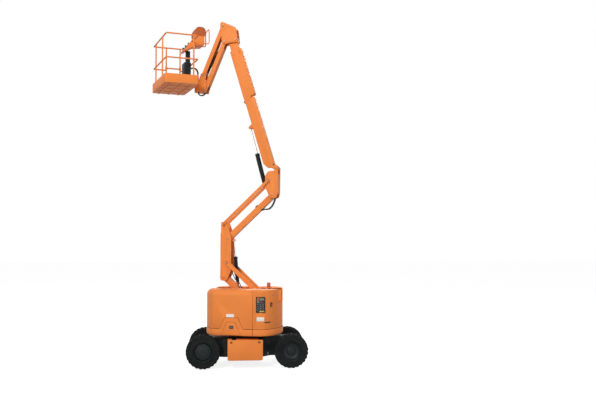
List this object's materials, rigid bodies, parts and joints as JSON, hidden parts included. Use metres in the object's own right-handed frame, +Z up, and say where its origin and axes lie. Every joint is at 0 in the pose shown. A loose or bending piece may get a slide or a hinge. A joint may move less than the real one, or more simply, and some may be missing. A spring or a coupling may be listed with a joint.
{
  "type": "articulating boom lift",
  "caption": "Self-propelled articulating boom lift with parallelogram risers, a telescopic primary boom, a levelled jib and a rotating work platform.",
  "frame": {"origin": "on the ground under the middle of the machine's whole extent, with the booms as parked", "axes": "+X towards the steered wheels, +Y to the left, +Z up"},
  "size_m": [3.4928, 1.7008, 7.6626],
  "materials": {
    "orange_paint": "semi-gloss orange enamel",
    "black_paint": "satin black enamel",
    "tyre_rubber": "matt tyre rubber",
    "chromed_rod": "ground hard chrome",
    "amber_lens": "smooth moulded lens"
  },
  "bodies": {
    "chassis": {"chassis_frame": "black_paint", "drive_axle": "black_paint", "steer_axle": "black_paint", "slew_bearing": "black_paint", "battery_cover_right": "orange_paint", "battery_cover_left": "orange_paint", "battery_pack_right": "black_paint", "battery_pack_left": "black_paint"},
    "drive_wheel_left": {"drive_wheel_left_tyre": "tyre_rubber", "drive_wheel_left_rim": "black_paint"},
    "knuckle_left": {"steering_knuckle_left": "black_paint"},
    "steer_wheel_left": {"steer_wheel_left_tyre": "tyre_rubber", "steer_wheel_left_rim": "black_paint"},
    "drive_wheel_right": {"drive_wheel_right_tyre": "tyre_rubber", "drive_wheel_right_rim": "black_paint"},
    "knuckle_right": {"steering_knuckle_right": "black_paint"},
    "steer_wheel_right": {"steer_wheel_right_tyre": "tyre_rubber", "steer_wheel_right_rim": "black_paint"},
    "tie_rod": {"tie_rod": "black_paint"},
    "turret": {"turret_frame": "black_paint", "tail_cover": "orange_paint", "ground_controls": "black_paint", "beacon": "amber_lens", "counterweight_right": "black_paint", "counterweight_left": "black_paint"},
    "right_cover": {"turret_door_right": "orange_paint"},
    "left_cover": {"turret_door_left": "orange_paint"},
    "lower_arm": {"lower_arm": "orange_paint"},
    "lower_link_bars": {"lower_link_bar_right": "orange_paint", "lower_link_bar_left": "orange_paint"},
    "mid_mast": {"mid_mast": "orange_paint"},
    "upper_arm": {"upper_arm": "orange_paint"},
    "upper_link_rods": {"upper_link_rod_right": "orange_paint", "upper_link_rod_left": "orange_paint"},
    "upper_link": {"upper_link": "orange_paint"},
    "riser_barrel": {"riser_cylinder_barrel": "black_paint"},
    "riser_rod": {"riser_cylinder_rod": "chromed_rod"},
    "lift_barrel": {"lift_cylinder_barrel": "black_paint"},
    "lift_rod": {"lift_cylinder_rod": "chromed_rod"},
    "primary_boom": {"primary_boom": "black_paint"},
    "fly_boom": {"fly_boom": "orange_paint"},
    "boom_head": {"boom_head": "orange_paint"},
    "jib_lower_arm": {"jib_lower_arm": "orange_paint"},
    "jib_upper_arm": {"jib_upper_arm": "orange_paint"},
    "jib_barrel": {"jib_cylinder_barrel": "black_paint"},
    "jib_rod": {"jib_cylinder_rod": "chromed_rod"},
    "platform_mount": {"platform_mount": "orange_paint"},
    "platform": {"platform_tray": "orange_paint", "platform_support": "orange_paint", "guardrail_outer": "orange_paint", "guardrail_rear": "orange_paint", "guardrail_right_end": "orange_paint", "guardrail_left_end": "orange_paint", "platform_controls": "orange_paint", "control_hood": "orange_paint", "control_guard": "orange_paint", "cable_duct": "black_paint"},
    "entry_bar": {"entry_bar": "orange_paint"}
  },
  "joints": [
    {"name": "drive_wheel_left_spin", "type": "hinge", "parent": "chassis", "child": "drive_wheel_left", "pos_m": [-0.49857, 0.52658, 0.365], "axis": [0, 1, 0], "continuous": true},
    {"name": "drive_wheel_right_spin", "type": "hinge", "parent": "chassis", "child": "drive_wheel_right", "pos_m": [-0.49857, -0.71342, 0.365], "axis": [0, 1, 0], "continuous": true},
    {"name": "steer", "type": "hinge", "parent": "chassis", "child": "knuckle_left", "pos_m": [1.38142, 0.40658, 0.365], "axis": [0, 0, 1], "range_deg": [-33, 33]},
    {"name": "steer_right", "type": "hinge", "parent": "chassis", "child": "knuckle_right", "pos_m": [1.38142, -0.59342, 0.365], "axis": [0, 0, 1], "range_deg": [-33.5, 33.5]},
    {"name": "tie_rod_pivot", "type": "hinge", "parent": "knuckle_left", "child": "tie_rod", "pos_m": [1.51143, 0.40658, 0.2837], "axis": [0, 0, 1], "range_deg": [-33.5, 33.5]},
    {"name": "steer_wheel_left_spin", "type": "hinge", "parent": "knuckle_left", "child": "steer_wheel_left", "pos_m": [1.38142, 0.52658, 0.365], "axis": [0, 1, 0], "continuous": true},
    {"name": "steer_wheel_right_spin", "type": "hinge", "parent": "knuckle_right", "child": "steer_wheel_right", "pos_m": [1.38142, -0.71342, 0.365], "axis": [0, 1, 0], "continuous": true},
    {"name": "turret_slew", "type": "hinge", "parent": "chassis", "child": "turret", "pos_m": [0.44143, -0.09342, 0], "axis": [0, 0, 1], "range_deg": [-161.5, 193.5]},
    {"name": "right_cover_lift", "type": "hinge", "parent": "turret", "child": "right_cover", "pos_m": [0.37886, -0.31162, 1.64], "axis": [-0.9613, 0.2756, 0], "range_deg": [0, 60]},
    {"name": "left_cover_lift", "type": "hinge", "parent": "turret", "child": "left_cover", "pos_m": [0.50399, 0.12479, 1.64], "axis": [0.9613, -0.2756, 0], "range_deg": [0, 60]},
    {"name": "riser_lift", "type": "hinge", "parent": "turret", "child": "lower_arm", "pos_m": [0.9432, -0.2373, 0.945], "axis": [0.2756, 0.9613, 0], "range_deg": [-49.3, 24.2]},
    {"name": "lower_link_bars_turn", "type": "hinge", "parent": "turret", "child": "lower_link_bars", "pos_m": [1.01434, -0.2577, 1.279], "axis": [0.2756, 0.9613, 0], "range_deg": [-49.79, 24.44]},
    {"name": "mast_level", "type": "hinge", "parent": "lower_arm", "child": "mid_mast", "pos_m": [-0.03621, 0.04354, 1.90515], "axis": [0.2756, 0.9613, 0], "range_deg": [-24.44, 49.79]},
    {"name": "upper_arm_turn", "type": "hinge", "parent": "mid_mast", "child": "upper_arm", "pos_m": [0.03973, 0.02177, 2.76915], "axis": [0.2756, 0.9613, 0], "range_deg": [-24.44, 49.79]},
    {"name": "upper_rods_turn", "type": "hinge", "parent": "mid_mast", "child": "upper_link_rods", "pos_m": [-0.04486, 0.04602, 3.08915], "axis": [0.2756, 0.9613, 0], "range_deg": [-24.44, 49.79]},
    {"name": "link_level", "type": "hinge", "parent": "upper_arm", "child": "upper_link", "pos_m": [1.01914, -0.25908, 3.72929], "axis": [0.2756, 0.9613, 0], "range_deg": [-49.79, 24.44]},
    {"name": "riser_cylinder_turn", "type": "hinge", "parent": "lower_arm", "child": "riser_barrel", "pos_m": [0.23827, -0.03517, 1.77072], "axis": [0.2756, 0.9613, 0], "range_deg": [-19.53, 39.78]},
    {"name": "riser_cylinder_stroke", "type": "slide", "parent": "riser_barrel", "child": "riser_rod", "axis": [-0.0867, 0.0249, 0.9959], "range_m": [-0.32462, 0.15986]},
    {"name": "primary_lift", "type": "hinge", "parent": "upper_link", "child": "primary_boom", "pos_m": [1.11046, -0.28526, 4.32229], "axis": [0.2756, 0.9613, 0], "range_deg": [-73.2, 1.8]},
    {"name": "lift_cylinder_turn", "type": "hinge", "parent": "upper_link", "child": "lift_barrel", "pos_m": [0.84035, -0.20781, 3.94729], "axis": [0.2756, 0.9613, 0], "range_deg": [-72.67, 1.79]},
    {"name": "lift_cylinder_stroke", "type": "slide", "parent": "lift_barrel", "child": "lift_rod", "axis": [-0.2458, 0.0705, 0.9668], "range_m": [-0.56492, 0.01487]},
    {"name": "primary_extend", "type": "slide", "parent": "primary_boom", "child": "fly_boom", "axis": [-0.2778, 0.0797, 0.9573], "range_m": [0, 1.2]},
    {"name": "head_level", "type": "hinge", "parent": "fly_boom", "child": "boom_head", "pos_m": [0.19188, -0.02186, 7.25214], "axis": [0.2756, 0.9613, 0], "range_deg": [-1.82, 73.93]},
    {"name": "jib_lift", "type": "hinge", "parent": "boom_head", "child": "jib_lower_arm", "pos_m": [-0.05997, 0.05036, 7.21514], "axis": [0.2756, 0.9613, 0], "range_deg": [-2.6, 136.4]},
    {"name": "jib_upper_arm_turn", "type": "hinge", "parent": "boom_head", "child": "jib_upper_arm", "pos_m": [-0.08881, 0.05862, 7.57514], "axis": [0.2756, 0.9613, 0], "range_deg": [-2.63, 137.76]},
    {"name": "mount_level", "type": "hinge", "parent": "jib_lower_arm", "child": "platform_mount", "pos_m": [-0.50326, 0.17747, 6.10729], "axis": [0.2756, 0.9613, 0], "range_deg": [-137.76, 2.63]},
    {"name": "jib_cylinder_turn", "type": "hinge", "parent": "boom_head", "child": "jib_barrel", "pos_m": [-0.05997, 0.05036, 7.21514], "axis": [0.2756, 0.9613, 0], "range_deg": [-2.49, 130.74]},
    {"name": "jib_cylinder_stroke", "type": "slide", "parent": "jib_barrel", "child": "jib_rod", "axis": [-0.5277, 0.1513, -0.8359], "range_m": [-0.01362, 0.66297]},
    {"name": "platform_rotate", "type": "hinge", "parent": "platform_mount", "child": "platform", "pos_m": [-0.68206, 0.22873, 6.13729], "axis": [0, 0, 1], "range_deg": [-123, 57]},
    {"name": "entry_bar_lift", "type": "slide", "parent": "platform", "child": "entry_bar", "axis": [0, 0, 1], "range_m": [0, 0.41]}
  ],
  "couplings": [
    {"joint": "steer_right", "follows": "steer", "ratio": 1},
    {"joint": "tie_rod_pivot", "follows": "steer", "ratio": -1},
    {"joint": "lower_link_bars_turn", "follows": "riser_lift", "ratio": 1},
    {"joint": "mast_level", "follows": "riser_lift", "ratio": -1},
    {"joint": "upper_arm_turn", "follows": "riser_lift", "ratio": -1},
    {"joint": "upper_rods_turn", "follows": "riser_lift", "ratio": -1},
    {"joint": "link_level", "follows": "riser_lift", "ratio": 1},
    {"joint": "riser_cylinder_turn", "follows": "riser_lift", "ratio": -0.79885},
    {"joint": "riser_cylinder_stroke", "follows": "riser_lift", "m_per_rad": 0.37238},
    {"joint": "lift_cylinder_turn", "follows": "primary_lift", "ratio": 0.98297},
    {"joint": "lift_cylinder_stroke", "follows": "primary_lift", "m_per_rad": 0.43703},
    {"joint": "head_level", "follows": "primary_lift", "ratio": -1},
    {"joint": "jib_upper_arm_turn", "follows": "jib_lift", "ratio": 1},
    {"joint": "mount_level", "follows": "jib_lift", "ratio": -1},
    {"joint": "jib_cylinder_turn", "follows": "jib_lift", "ratio": 0.94898},
    {"joint": "jib_cylinder_stroke", "follows": "jib_lift", "m_per_rad": 0.27531}
  ]
}
